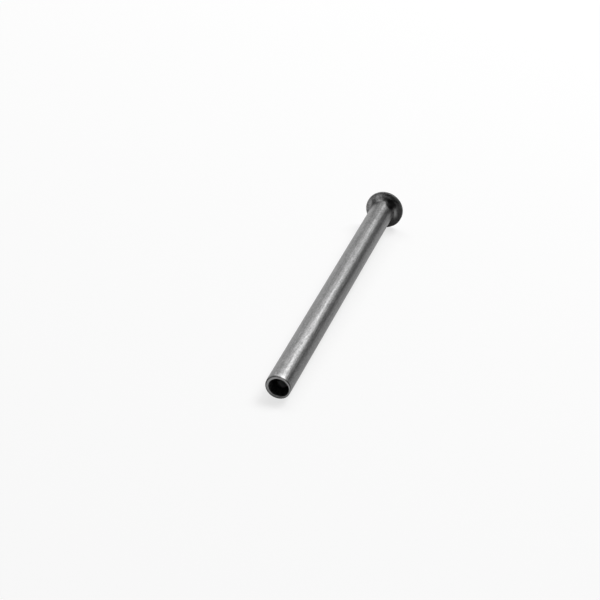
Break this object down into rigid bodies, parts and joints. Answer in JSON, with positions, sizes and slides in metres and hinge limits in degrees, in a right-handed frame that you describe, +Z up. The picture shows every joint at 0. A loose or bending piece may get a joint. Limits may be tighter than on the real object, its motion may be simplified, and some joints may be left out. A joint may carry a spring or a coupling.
{
  "type": "hollow rivet",
  "caption": "Long steel hollow rivet: a low domed head on a plain round shank whose open end is a thin-walled blind hollow that rolls over when the rivet is set.",
  "frame": {"origin": "centre of the footprint, on the flat surface that the rivet lies on", "axes": "+X runs along the rivet from the open end towards the head, +Z is up from the surface; the rivet's own axis rises 1.27 degrees towards the head, because the edge of the seat under the head and the edge of the open end both touch the surface"},
  "size_m": [0.0716, 0.008, 0.0081],
  "materials": {
    "steel": "satin"
  },
  "bodies": {
    "root": {"rivet": "steel"}
  },
  "joints": []
}
